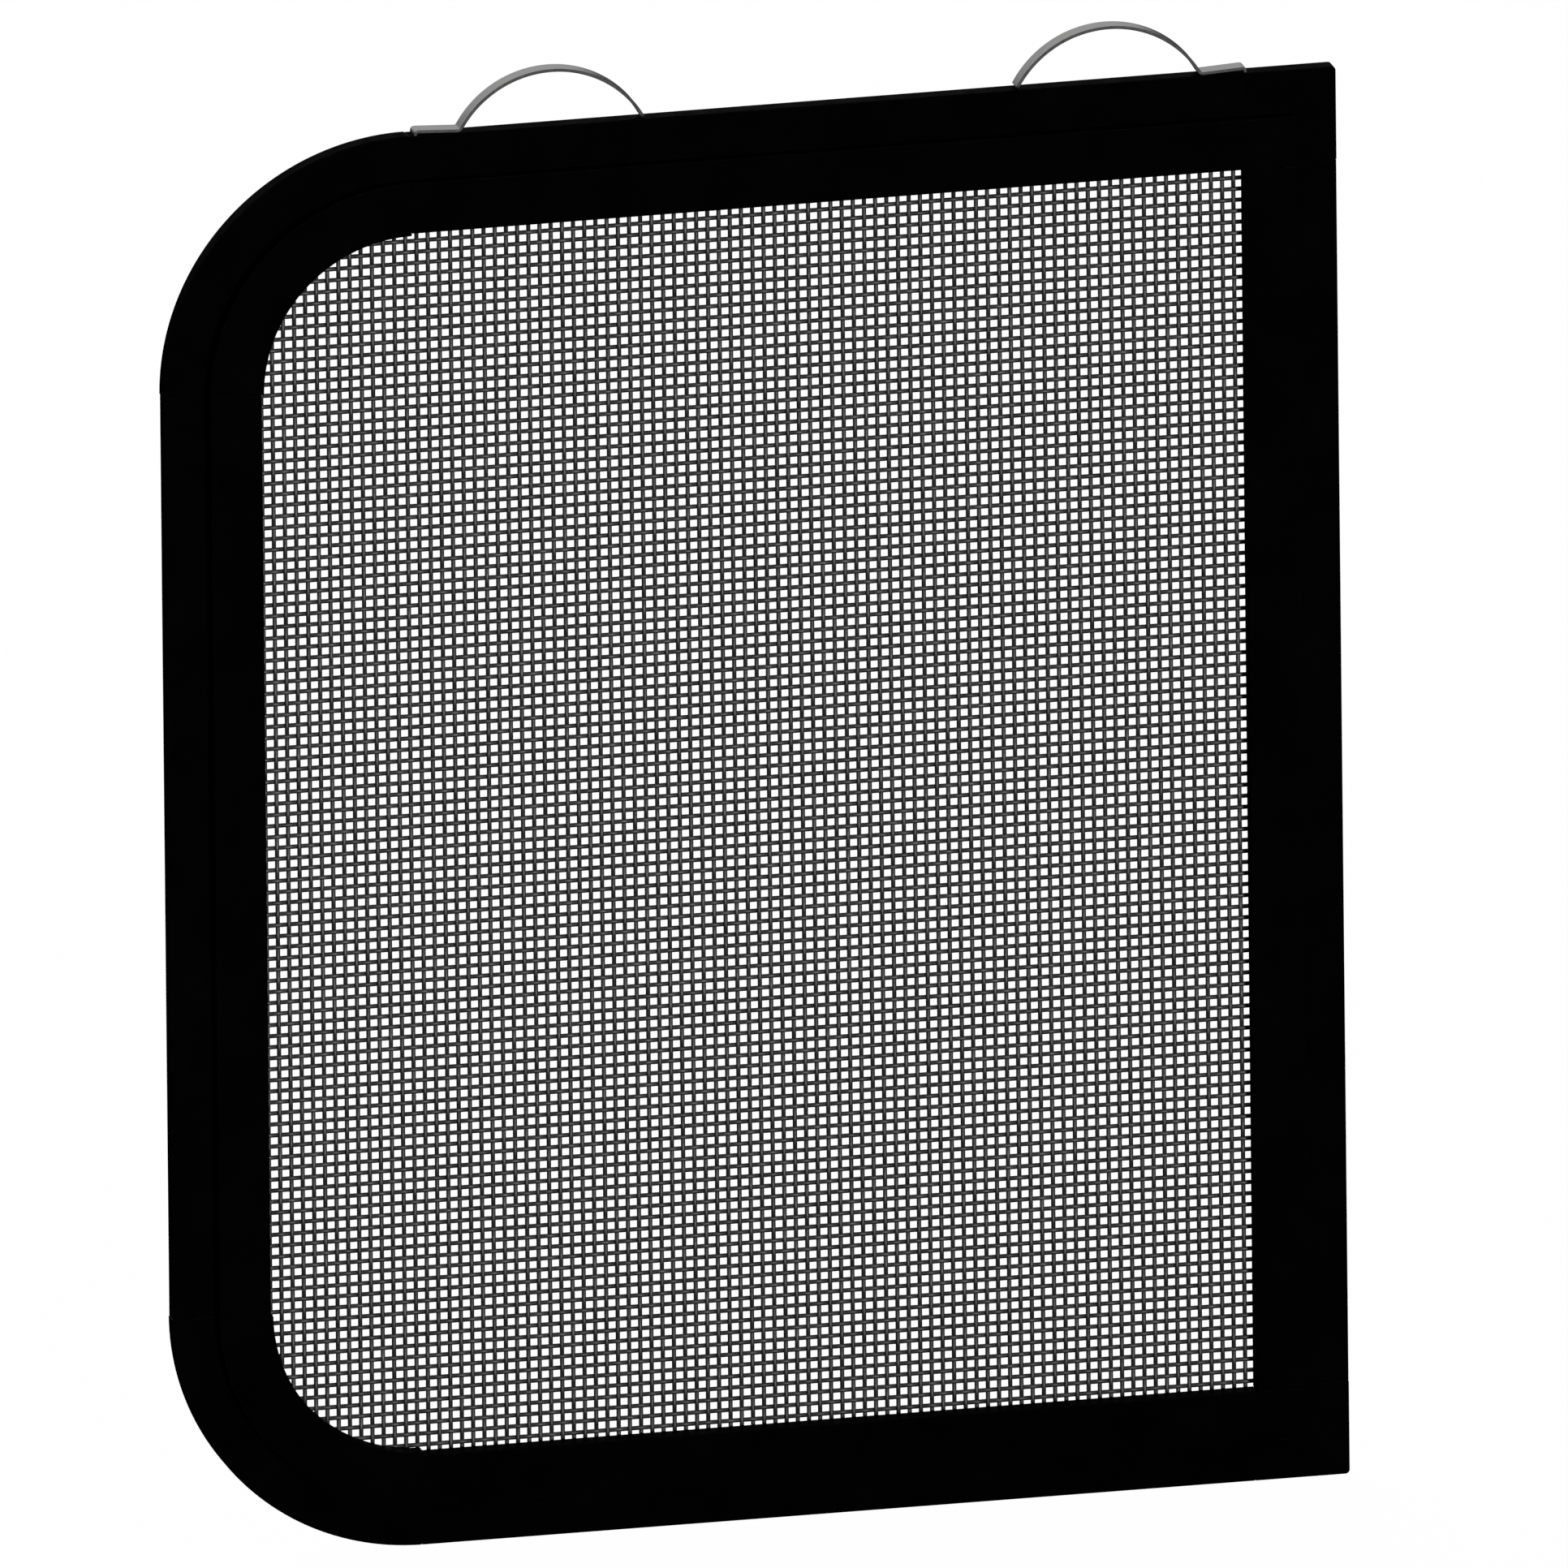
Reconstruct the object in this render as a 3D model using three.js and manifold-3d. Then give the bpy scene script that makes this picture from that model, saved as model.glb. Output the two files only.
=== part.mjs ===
// Insert fireplace screen: a D-shaped steel frame with a sheet of woven wire, and two leaf springs on its
// top edge. Units are millimetres. X runs along the width, Y from front to back, Z up. The origin is the
// middle of the bottom edge. "Inward" is measured from a rail's outer face, "depth" from the back face.
import * as THREE from "three";
import { mergeVertices } from "three/addons/utils/BufferGeometryUtils.js";
import Module from "manifold-3d";

// Overall size, over the corners
const WIDTH = 381;
const HEIGHT = 463;
const DEPTH = 10.3;

// Frame section: a low outer ledge, a raised inner band, and behind it a rebate and a groove
const BAND = 30.7;
const LEDGE = { width: 14.1, depth: 5.9 };
const REBATE = { start: 22, depth: 4.2 };
const GROOVE = { start: 23.6, end: 27.8, depth: 8 };
const WALL = 1.2;

// Corners: how far they stand out from the rails, and their sizes
const ELBOW = { radius: 80.1, outside: 0.2, inside: 0.8, segments: 96 };
const BLOCK = { size: 30.6, radius: 1.4, outside: 0.1, lower: 0.2 };
const TONGUE = { length: 20, root: 1, clearance: 0.45 };
const JOINT_GAP = 0.1;

// Wire cloth and the cord that holds its edge
const CLOTH = { edge: 27.5, back: 1.9, front: 4.15, cornerRadius: 1 };
const SPLINE = { outer: 24, inner: 26.5, back: 4.5, front: 7.9, outerRadius: 3, innerRadius: 0.5 };
const CORNER_STEPS = 24;

// Rivets through the back wall into the tongues
const RIVET = { inward: 11, along: 10, headRadius: 2.4, headDepth: 1.1, shankRadius: 1.6, length: 4 };
const RIVET_GAP = 0.3;
const RIVET_SIDES = 20;

// Leaf springs: an arched strip with a flat foot, whose hooked end carries a narrow tang
const SPRING = { span: 59.4, rise: 18.5, thickness: 1, width: 5.8, foot: 14.5, seatGap: 0.1 };
const FOOT_SLOPE = THREE.MathUtils.degToRad(4.2);
const BEND_REACH = 1.6;
const HOOK_REACH = 1;
const TANG = { width: 3, depth: 1, gap: 0.3 };
const SPRING_STEPS = 28;
const LEFT_SPRING_BEND = -93.4;
const RIGHT_SPRING_BEND = 146.7;

// Places that follow from the sizes above
const BACK = DEPTH / 2;
const RAIL_LEFT = -WIDTH / 2 + ELBOW.outside;
const RAIL_RIGHT = WIDTH / 2 - BLOCK.outside;
const RAIL_TOP = HEIGHT - ELBOW.outside;
const ELBOW_X = -WIDTH / 2 + ELBOW.radius;
const BLOCK_TOP = RAIL_TOP - BLOCK.lower;
const BLOCK_INNER_X = WIDTH / 2 - BLOCK.size;
const STRIP_MIDDLE = BACK - LEDGE.depth / 2;

const FRONT = new THREE.Vector3(0, -1, 0);
const UP = new THREE.Vector3(0, 0, 1);
const DOWN = new THREE.Vector3(0, 0, -1);
const RIGHT = new THREE.Vector3(1, 0, 0);
const LEFT = new THREE.Vector3(-1, 0, 0);

const wasm = await Module();
wasm.setup();

// ---- joining and cutting ----

function solid(geometry) {
  const bare = new THREE.BufferGeometry();
  bare.setIndex(geometry.index);
  bare.setAttribute("position", geometry.getAttribute("position"));
  const merged = mergeVertices(bare, 1e-4);
  const mesh = new wasm.Mesh({
    numProp: 3,
    vertProperties: new Float32Array(merged.getAttribute("position").array),
    triVerts: new Uint32Array(merged.index.array),
  });
  return new wasm.Manifold(mesh);
}

function geometryOf(manifold) {
  const { vertProperties, triVerts } = manifold.getMesh();
  const geometry = new THREE.BufferGeometry();
  geometry.setAttribute("position", new THREE.BufferAttribute(vertProperties, 3));
  geometry.setIndex(new THREE.BufferAttribute(triVerts, 1));
  geometry.computeVertexNormals();
  return geometry;
}

// ---- outlines ----

function shapeOf(points) {
  return new THREE.Shape(points.map(([x, y]) => new THREE.Vector2(x, y)));
}

function arc(x, y, radius, fromDegrees, toDegrees, steps) {
  return Array.from({ length: steps + 1 }, (_, i) => {
    const angle = THREE.MathUtils.degToRad(fromDegrees + ((toDegrees - fromDegrees) * i) / steps);
    return [x + radius * Math.cos(angle), y + radius * Math.sin(angle)];
  });
}

// The frame's section as (inward, depth), for a piece that stands out by the given amounts.
function frameSection(outside, inside) {
  const s = (inward) => inward + outside;
  return [
    [0, 0],
    [s(REBATE.start), 0],
    [s(REBATE.start), REBATE.depth],
    [s(GROOVE.start), REBATE.depth],
    [s(GROOVE.start), GROOVE.depth],
    [s(GROOVE.end), GROOVE.depth],
    [s(GROOVE.end), REBATE.depth],
    [s(BAND + inside), REBATE.depth],
    [s(BAND + inside), DEPTH],
    [s(LEDGE.width), DEPTH],
    [s(LEDGE.width), LEDGE.depth],
    [0, LEDGE.depth],
  ];
}

// The hollow inside a rail, made smaller all round by a clearance.
function cavitySection(clearance) {
  const edge = WALL + clearance;
  return [
    [edge, edge],
    [REBATE.start - edge, edge],
    [REBATE.start - edge, REBATE.depth + edge],
    [GROOVE.start - edge, REBATE.depth + edge],
    [GROOVE.start - edge, DEPTH - edge],
    [LEDGE.width + edge, DEPTH - edge],
    [LEDGE.width + edge, LEDGE.depth - edge],
    [edge, LEDGE.depth - edge],
  ];
}

// The D-shaped line at one distance inward from the rails' outer faces.
function outlineAt(inward, rightRadius) {
  const left = ELBOW.radius - ELBOW.outside - inward;
  const right = RAIL_RIGHT - inward - rightRadius;
  const top = RAIL_TOP - inward;
  const steps = CORNER_STEPS;
  return [
    ...arc(right, inward + rightRadius, rightRadius, -90, 0, steps / 4),
    ...arc(right, top - rightRadius, rightRadius, 0, 90, steps / 4),
    ...arc(ELBOW_X, top - left, left, 90, 180, steps),
    ...arc(ELBOW_X, inward + left, left, 180, 270, steps),
  ];
}

// ---- solids from outlines ----

// A plate whose outline lies in XZ, between two depths.
function plate(shape, fromDepth, toDepth) {
  const geometry = new THREE.ExtrudeGeometry(shape, { depth: toDepth - fromDepth, bevelEnabled: false });
  return geometry.rotateX(Math.PI / 2).translate(0, BACK - fromDepth, 0);
}

// A bar of a section (inward, depth). It starts at a point on the rail's outer face and runs along
// inward × front.
function bar(shape, length, inward, x, z) {
  const geometry = new THREE.ExtrudeGeometry(shape, { depth: length, bevelEnabled: false });
  const along = new THREE.Vector3().crossVectors(inward, FRONT);
  geometry.applyMatrix4(new THREE.Matrix4().makeBasis(inward, FRONT, along));
  return geometry.translate(x, BACK, z);
}

function rivetHole(radius, depth, x, z) {
  const overrun = 1;
  const hole = new THREE.CylinderGeometry(radius, radius, depth + overrun, RIVET_SIDES);
  return solid(hole.translate(x, BACK - (depth - overrun) / 2, z));
}

function box(width, depth, height, x, y, z) {
  return solid(new THREE.BoxGeometry(width, depth, height).translate(x, y, z));
}

// ---- materials ----

function finish(color, roughness, metalness) {
  return new THREE.MeshStandardMaterial({ color, roughness, metalness });
}

const framePaint = () => finish(0x080808, 0.5, 0.1);
const wireFinish = () => finish(0x202020, 0.45, 0.6);
const springSteel = () => finish(0x9a9a98, 0.35, 0.9);
const cordFinish = () => finish(0x1a1a1a, 0.9, 0);
const rivetFinish = () => finish(0x303032, 0.4, 0.8);

function named(name, geometry, material) {
  const mesh = new THREE.Mesh(geometry, material);
  mesh.name = name;
  return mesh;
}

// ---- rails ----

// A hollow rail with a rivet hole near each end.
function rail(name, inward, length, x, z, extraCut) {
  const section = shapeOf(frameSection(0, 0));
  section.holes.push(new THREE.Path(shapeOf(cavitySection(0)).getPoints()));
  let made = solid(bar(section, length - 2 * JOINT_GAP, inward, x, z));
  const along = new THREE.Vector3().crossVectors(inward, FRONT);
  made = [RIVET.along - JOINT_GAP, length - JOINT_GAP - RIVET.along].reduce((body, distance) => {
    const holeX = x + inward.x * RIVET.inward + along.x * distance;
    const holeZ = z + inward.z * RIVET.inward + along.z * distance;
    return body.subtract(rivetHole(RIVET.headRadius + RIVET_GAP, WALL + TONGUE.clearance, holeX, holeZ));
  }, made);
  if (extraCut) made = made.subtract(extraCut);
  return named(name, geometryOf(made), framePaint());
}

function springSlot(x, top, depth) {
  const overrun = 1;
  const width = SPRING.thickness + 2 * TANG.gap;
  const length = TANG.width + 2 * TANG.gap;
  return box(width, length, depth + overrun, x, STRIP_MIDDLE, top - (depth - overrun) / 2);
}

function rails() {
  const topLength = BLOCK_INNER_X - ELBOW_X;
  const leftLength = HEIGHT - 2 * ELBOW.radius;
  const rightLength = BLOCK_TOP - 2 * BLOCK.size;
  const slot = springSlot(LEFT_SPRING_BEND - SPRING.foot, RAIL_TOP, WALL + TONGUE.clearance / 2);
  const rightStart = BLOCK.size + JOINT_GAP;
  return [
    rail("top_rail", DOWN, topLength, BLOCK_INNER_X - JOINT_GAP, RAIL_TOP, slot),
    rail("bottom_rail", UP, topLength, ELBOW_X + JOINT_GAP, 0),
    rail("left_rail", RIGHT, leftLength, RAIL_LEFT, HEIGHT - ELBOW.radius - JOINT_GAP),
    rail("right_rail", LEFT, rightLength, RAIL_RIGHT, rightStart),
  ];
}

// ---- corners ----

// A tongue that enters a rail, with the rivet's pocket in it. It grows out of the corner along a direction.
function tongue(inward, along, faceX, faceZ) {
  const length = TONGUE.length + TONGUE.root;
  const run = new THREE.Vector3().crossVectors(inward, FRONT);
  const start = run.dot(along) > 0 ? -TONGUE.root : TONGUE.length;
  const x = faceX + along.x * start;
  const z = faceZ + along.z * start;
  const made = solid(bar(shapeOf(cavitySection(TONGUE.clearance)), length, inward, x, z));
  const holeX = faceX + inward.x * RIVET.inward + along.x * RIVET.along;
  const holeZ = faceZ + inward.z * RIVET.inward + along.z * RIVET.along;
  const pocketDepth = RIVET.length + RIVET_GAP;
  return made.subtract(rivetHole(RIVET.shankRadius + RIVET_GAP, pocketDepth, holeX, holeZ));
}

// The top left elbow, about the centre of its arc. The bottom left one is its mirror image.
function elbowGeometry() {
  const profile = frameSection(ELBOW.outside, ELBOW.inside);
  const points = [...profile, profile[0]].map(
    ([inward, depth]) => new THREE.Vector2(ELBOW.radius - inward, BACK - depth),
  );
  const ring = solid(new THREE.LatheGeometry(points, ELBOW.segments));
  const side = ELBOW.radius + 1;
  const quarter = ring.intersect(box(side, 4 * DEPTH, side, -side / 2, 0, side / 2));
  const face = ELBOW.radius - ELBOW.outside;
  return geometryOf(quarter.add(tongue(DOWN, RIGHT, 0, face)).add(tongue(RIGHT, DOWN, -face, 0)));
}

function elbows() {
  const geometry = elbowGeometry();
  const top = named("top_left_elbow", geometry, framePaint());
  top.position.set(ELBOW_X, 0, HEIGHT - ELBOW.radius);
  const bottom = named("bottom_left_elbow", geometry, framePaint());
  bottom.position.set(ELBOW_X, 0, ELBOW.radius);
  bottom.scale.z = -1;
  return [top, bottom];
}

// The top right block, about its outer corner. The bottom right one is its mirror image without the pocket.
function blockGeometry(withPocket) {
  const far = -BLOCK.size;
  const past = far - 1;
  const square = (start, end) => shapeOf([[-start, -start], [end, -start], [end, end], [-start, end]]);
  const outer = [
    [far, 0],
    [far, far],
    [0, far],
    ...arc(-BLOCK.radius, -BLOCK.radius, BLOCK.radius, 0, 90, 6),
  ];
  const groove = [
    [-GROOVE.start, -GROOVE.start],
    [-GROOVE.start, past],
    [-GROOVE.end, past],
    [-GROOVE.end, -GROOVE.end],
    [past, -GROOVE.end],
    [past, -GROOVE.start],
  ];
  let made = solid(plate(shapeOf(outer), 0, LEDGE.depth))
    .add(solid(plate(square(LEDGE.width, far), 0, DEPTH)))
    .subtract(solid(plate(square(REBATE.start, past), -1, REBATE.depth)))
    .subtract(solid(plate(shapeOf(groove), 0, GROOVE.depth)))
    .add(tongue(DOWN, LEFT, far, BLOCK.lower))
    .add(tongue(LEFT, DOWN, -BLOCK.outside, far));
  if (withPocket) {
    const hookX = RIGHT_SPRING_BEND + SPRING.foot - WIDTH / 2;
    made = made.subtract(springSlot(hookX, 0, WALL + TANG.gap));
  }
  return geometryOf(made);
}

function blocks() {
  const top = named("top_right_corner", blockGeometry(true), framePaint());
  top.position.set(WIDTH / 2, 0, BLOCK_TOP);
  const bottom = named("bottom_right_corner", blockGeometry(false), framePaint());
  bottom.position.set(WIDTH / 2, 0, 0);
  bottom.scale.z = -1;
  return [top, bottom];
}

// ---- rivets ----

function rivets() {
  const half = [
    [0, -RIVET.length],
    [RIVET.shankRadius, -RIVET.length],
    [RIVET.shankRadius, -RIVET.headDepth],
    [RIVET.headRadius, -RIVET.headDepth],
    [RIVET.headRadius, 0],
    [0, 0],
  ];
  const geometry = new THREE.LatheGeometry(half.map(([r, y]) => new THREE.Vector2(r, y)), RIVET_SIDES);
  const { inward, along } = RIVET;
  const nearElbow = ELBOW_X + along;
  const nearBlock = BLOCK_INNER_X - along;
  const places = [
    [nearElbow, RAIL_TOP - inward],
    [nearBlock, RAIL_TOP - inward],
    [RAIL_RIGHT - inward, BLOCK_TOP - BLOCK.size - along],
    [RAIL_RIGHT - inward, BLOCK.size + along],
    [nearBlock, inward],
    [nearElbow, inward],
    [RAIL_LEFT + inward, ELBOW.radius + along],
    [RAIL_LEFT + inward, HEIGHT - ELBOW.radius - along],
  ];
  return places.map(([x, z], i) => {
    const rivet = named(`joint_rivet_${i + 1}`, geometry, rivetFinish());
    rivet.position.set(x, BACK, z);
    return rivet;
  });
}

// ---- wire cloth and its cord ----

function wireMesh() {
  const outline = shapeOf(outlineAt(CLOTH.edge, CLOTH.cornerRadius));
  return named("wire_mesh", plate(outline, CLOTH.back, CLOTH.front), wireFinish());
}

function retainingSpline() {
  const ring = shapeOf(outlineAt(SPLINE.outer, SPLINE.outerRadius));
  ring.holes.push(new THREE.Path(shapeOf(outlineAt(SPLINE.inner, SPLINE.innerRadius)).getPoints()));
  return named("retaining_spline", plate(ring, SPLINE.back, SPLINE.front), cordFinish());
}

// ---- leaf springs ----

// The strip's middle line, from its free end over the arch to the tip of the hook. The bend between the
// arch and the foot is at 0.
function springLine() {
  const seat = SPRING.thickness / 2;
  const half = SPRING.span / 2;
  const sagitta = SPRING.rise - SPRING.thickness;
  const radius = (half * half + sagitta * sagitta) / (2 * sagitta);
  const centre = seat + sagitta - radius;
  const reach = Math.asin(half / radius);
  const start = Math.PI / 2 - reach;
  const end = Math.PI / 2 + reach - BEND_REACH / radius;
  const heel = new THREE.Vector2(-SPRING.foot, seat + SPRING.foot * Math.tan(FOOT_SLOPE));
  const slope = new THREE.Vector2(-Math.cos(FOOT_SLOPE), Math.sin(FOOT_SLOPE));
  const line = new THREE.Path();
  line.absarc(half, centre, radius, start, end, false);
  line.quadraticCurveTo(0, seat, slope.x * BEND_REACH, seat + slope.y * BEND_REACH);
  line.lineTo(heel.x - slope.x * HOOK_REACH, heel.y - slope.y * HOOK_REACH);
  line.quadraticCurveTo(heel.x, heel.y, heel.x, heel.y - HOOK_REACH);
  line.lineTo(heel.x, 0);
  return line.getPoints(SPRING_STEPS);
}

// A strip of one thickness along a line.
function ribbon(points, thickness) {
  const sides = [1, -1].map((side) =>
    points.map((point, i) => {
      const before = points[Math.max(i - 1, 0)];
      const after = points[Math.min(i + 1, points.length - 1)];
      const along = after.clone().sub(before).normalize();
      return [point.x - (side * along.y * thickness) / 2, point.y + (side * along.x * thickness) / 2];
    }),
  );
  return shapeOf([...sides[0], ...sides[1].reverse()]);
}

function springGeometry() {
  const outline = ribbon(springLine(), SPRING.thickness);
  const strip = new THREE.ExtrudeGeometry(outline, { depth: SPRING.width, bevelEnabled: false });
  strip.rotateX(Math.PI / 2).translate(0, SPRING.width / 2, 0);
  const tangHeight = TANG.depth + 2 * SPRING.seatGap + HOOK_REACH / 2;
  const tangZ = HOOK_REACH / 2 - tangHeight / 2;
  return geometryOf(solid(strip).add(box(SPRING.thickness, TANG.width, tangHeight, -SPRING.foot, 0, tangZ)));
}

function leafSprings() {
  const geometry = springGeometry();
  const left = named("left_leaf_spring", geometry, springSteel());
  left.position.set(LEFT_SPRING_BEND, STRIP_MIDDLE, RAIL_TOP + SPRING.seatGap);
  const right = named("right_leaf_spring", geometry, springSteel());
  right.position.set(RIGHT_SPRING_BEND, STRIP_MIDDLE, RAIL_TOP + SPRING.seatGap);
  right.scale.x = -1;
  return [left, right];
}

// ---- the whole screen ----

const frame = new THREE.Group();
frame.add(...rails(), ...elbows(), ...blocks(), ...rivets());
const infill = new THREE.Group();
infill.add(wireMesh(), retainingSpline());
const springs = new THREE.Group();
springs.add(...leafSprings());

const screen = new THREE.Group();
screen.add(frame, infill, springs);

export default screen;
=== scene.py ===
"""Insert fireplace screen: a D-shaped black steel frame, a sheet of woven wire and two leaf springs.

Metres, in the CAD model's frame: X along the width, Y from front to back, Z up. "Inward" is measured
from a rail's outer face towards the opening, and "depth" from the back face towards the front.
"""

import math

import bmesh
import bpy
import numpy as np
from mathutils import Matrix, Vector


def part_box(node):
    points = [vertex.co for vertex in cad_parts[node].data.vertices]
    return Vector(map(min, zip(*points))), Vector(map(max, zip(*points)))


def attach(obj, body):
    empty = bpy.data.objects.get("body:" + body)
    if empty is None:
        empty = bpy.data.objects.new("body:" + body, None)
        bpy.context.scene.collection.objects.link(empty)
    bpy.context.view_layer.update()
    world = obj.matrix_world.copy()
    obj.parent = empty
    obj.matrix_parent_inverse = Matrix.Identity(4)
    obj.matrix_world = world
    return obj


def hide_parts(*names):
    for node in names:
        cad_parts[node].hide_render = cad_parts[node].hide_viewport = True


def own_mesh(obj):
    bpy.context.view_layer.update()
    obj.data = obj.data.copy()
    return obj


MM = 0.001

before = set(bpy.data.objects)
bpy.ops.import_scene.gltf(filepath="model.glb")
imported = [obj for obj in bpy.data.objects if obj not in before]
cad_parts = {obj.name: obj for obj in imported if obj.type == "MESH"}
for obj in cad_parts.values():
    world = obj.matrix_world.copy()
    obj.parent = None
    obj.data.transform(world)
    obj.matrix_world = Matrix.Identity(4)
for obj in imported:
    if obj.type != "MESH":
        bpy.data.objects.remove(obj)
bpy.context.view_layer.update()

# ---- camera ----

AZIMUTH = -13.31
ELEVATION = 16.36
ROLL = -0.58
VIEW_WIDTH = 494.5 * MM
VIEW_ACROSS = 6.92 * MM
VIEW_UP = 231.5 * MM
CAMERA_DISTANCE = 1.5


def make_camera():
    """A parallel view from the left and a little above. The view's middle is a shift from the origin."""
    turn = Matrix.Rotation(math.radians(AZIMUTH), 4, "Z")
    tilt = Matrix.Rotation(math.radians(90 - ELEVATION), 4, "X")
    roll = Matrix.Rotation(math.radians(ROLL), 4, "Z")
    data = bpy.data.cameras.new("camera")
    data.type = "ORTHO"
    data.ortho_scale = VIEW_WIDTH
    camera = bpy.data.objects.new("camera", data)
    shift = Matrix.Translation((VIEW_ACROSS, VIEW_UP, CAMERA_DISTANCE))
    camera.matrix_world = turn @ tilt @ roll @ shift
    bpy.context.scene.collection.objects.link(camera)
    bpy.context.scene.camera = camera


make_camera()

# ---- sizes that the frame's boxes don't give ----

LEDGE_WIDTH = 14.1 * MM
LEDGE_DEPTH = 5.9 * MM
REBATE_START = 22 * MM
REBATE_DEPTH = 4.2 * MM
GROOVE_START = 23.6 * MM
GROOVE_END = 27.8 * MM
GROOVE_DEPTH = 8 * MM
WALL = 1.2 * MM
# The gap between a rail and a corner in the CAD model, and what is left of it here, so that no light shows
JOINT_GAP = 0.1 * MM
SEAM_GAP = 0.01 * MM
ELBOW_INSIDE = 0.8 * MM
BLOCK_RADIUS = 1.4 * MM
TONGUE_LENGTH = 20 * MM
TONGUE_ROOT = 1 * MM
TONGUE_CLEARANCE = 0.45 * MM
RIVET_INWARD = 11 * MM
RIVET_ALONG = 10 * MM
RIVET_HEAD_RADIUS = 2.4 * MM
RIVET_GAP = 0.3 * MM
RIVET_LENGTH = 4 * MM
RIVET_SHANK_RADIUS = 1.6 * MM
RIVET_SHANK_EDGE = 0.3 * MM
RIVET_HEAD_DEPTH = 1.1 * MM
HOLE_CHAMFER = 0.2 * MM
SPRING_THICKNESS = 1 * MM
TANG_WIDTH = 3 * MM
TANG_DEPTH = 1.2 * MM
TANG_GAP = 0.3 * MM
PAINT_EDGE = 0.3 * MM
PAST = 1 * MM
ALMOST_NOTHING = 0.001 * MM

# ---- places that the frame gives ----

top_rail_low, top_rail_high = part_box("top_rail")
elbow_low, elbow_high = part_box("top_left_elbow")
block_low, block_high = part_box("top_right_corner")

BACK = top_rail_high.y
DEPTH = top_rail_high.y - top_rail_low.y
BAND = top_rail_high.z - top_rail_low.z
RAIL_TOP = top_rail_high.z
RAIL_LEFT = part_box("left_rail")[0].x
RAIL_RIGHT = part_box("right_rail")[1].x
ELBOW_X = top_rail_low.x - JOINT_GAP
ELBOW_RADIUS = ELBOW_X - elbow_low.x
ELBOW_OUTSIDE = RAIL_LEFT - elbow_low.x
ELBOW_TOP = elbow_high.z - ELBOW_RADIUS
BLOCK_X = top_rail_high.x + JOINT_GAP
BLOCK_RIGHT = block_high.x
BLOCK_TOP = block_high.z
BLOCK_SIZE = BLOCK_RIGHT - BLOCK_X

FRONT = Vector((0, -1, 0))
UP = Vector((0, 0, 1))
DOWN = Vector((0, 0, -1))
RIGHT = Vector((1, 0, 0))
LEFT = Vector((-1, 0, 0))

# A piece's materials after its first, by number
# The rounded edges are lighter partly as rubbed wear and partly as a painted highlight along them
RUBBED_HIGHLIGHT_EDGES = 1
# The back faces' copy of the black coat is lighter than the front's: painted light on the back, painted
# shade on the front
LIT_BACK_FACE = 2
# The springs' slit edges are darker partly as a sheared finish and partly as painted shade
SHADED_SLIT_EDGES = 1


def at(x, z):
    """A point on the back face."""
    return Vector((x, BACK, z))


# ---- meshes ----


def skin(rings, loop=False):
    """Points and faces over rings of points: with flat ends, or closed on itself as a loop."""
    count, sides = rings.shape[:2]
    ring = np.arange(count if loop else count - 1)[:, None] * sides
    side = np.arange(sides)[None, :]
    following = (ring + sides) % (count * sides)
    turned = (side + 1) % sides
    quads = np.stack([ring + side, ring + turned, following + turned, following + side], -1)
    faces = quads.reshape(-1, 4).tolist()
    if not loop:
        last = (count - 1) * sides
        faces += [list(range(sides))[::-1], list(range(last, last + sides))]
    return rings.reshape(-1, 3), faces


def mesh_of(name, shells):
    """One mesh of several skins."""
    points = np.concatenate([shell[0] for shell in shells])
    faces = []
    base = 0
    for shell_points, shell_faces in shells:
        faces += [[base + i for i in face] for face in shell_faces]
        base += len(shell_points)
    mesh = bpy.data.meshes.new(name)
    mesh.from_pydata(points.tolist(), [], faces)
    shape = bmesh.new()
    shape.from_mesh(mesh)
    bmesh.ops.recalc_face_normals(shape, faces=shape.faces)
    shape.to_mesh(mesh)
    shape.free()
    return mesh


def sweep(name, section, stations):
    """A section of (inward, depth) carried through stations of (origin, inward)."""
    rings = np.array(
        [[origin + inward * s + FRONT * depth for s, depth in section] for origin, inward in stations]
    )
    return mesh_of(name, [skin(rings)])


def lathe(name, profile, x, z, sides=32):
    """A turned shape about the Y axis at (x, z). The profile is (radius, depth), and its ends are closed."""
    angle = np.arange(sides) * 2 * math.pi / sides
    radius, depth = np.array(profile).T[:, :, None]
    y = BACK - depth + np.zeros(sides)
    rings = np.stack([x + radius * np.cos(angle), y, z + radius * np.sin(angle)], -1)
    return mesh_of(name, [skin(rings)])


def tube(points, side, half_width, half_depth, sides):
    """Oval rings round a path whose sideways direction is given, once for all of it or for each point."""
    ahead = np.gradient(points, axis=0)
    ahead /= np.linalg.norm(ahead, axis=1)[:, None]
    other = np.cross(ahead, side)
    other /= np.linalg.norm(other, axis=1)[:, None]
    across = np.cross(other, ahead)
    angle = np.arange(sides) * 2 * math.pi / sides
    sideways = half_width * np.cos(angle)[None, :, None] * across[:, None]
    return points[:, None] + sideways + half_depth * np.sin(angle)[None, :, None] * other[:, None]


# ---- pieces ----


def link(name, mesh):
    """A new piece in the scene."""
    piece = bpy.data.objects.new(name, mesh)
    bpy.context.scene.collection.objects.link(piece)
    return piece


def carve(piece, tool_mesh, operation="DIFFERENCE"):
    """Cuts a shape from a piece, or joins it on."""
    tool = link("tool", tool_mesh)
    cut = piece.modifiers.new("cut", "BOOLEAN")
    cut.object = tool
    cut.operation = operation
    cut.solver = "EXACT"
    bpy.context.view_layer.update()
    evaluated = piece.evaluated_get(bpy.context.evaluated_depsgraph_get())
    mesh = bpy.data.meshes.new_from_object(evaluated)
    piece.modifiers.clear()
    piece.data = mesh
    bpy.data.objects.remove(tool)


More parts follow.
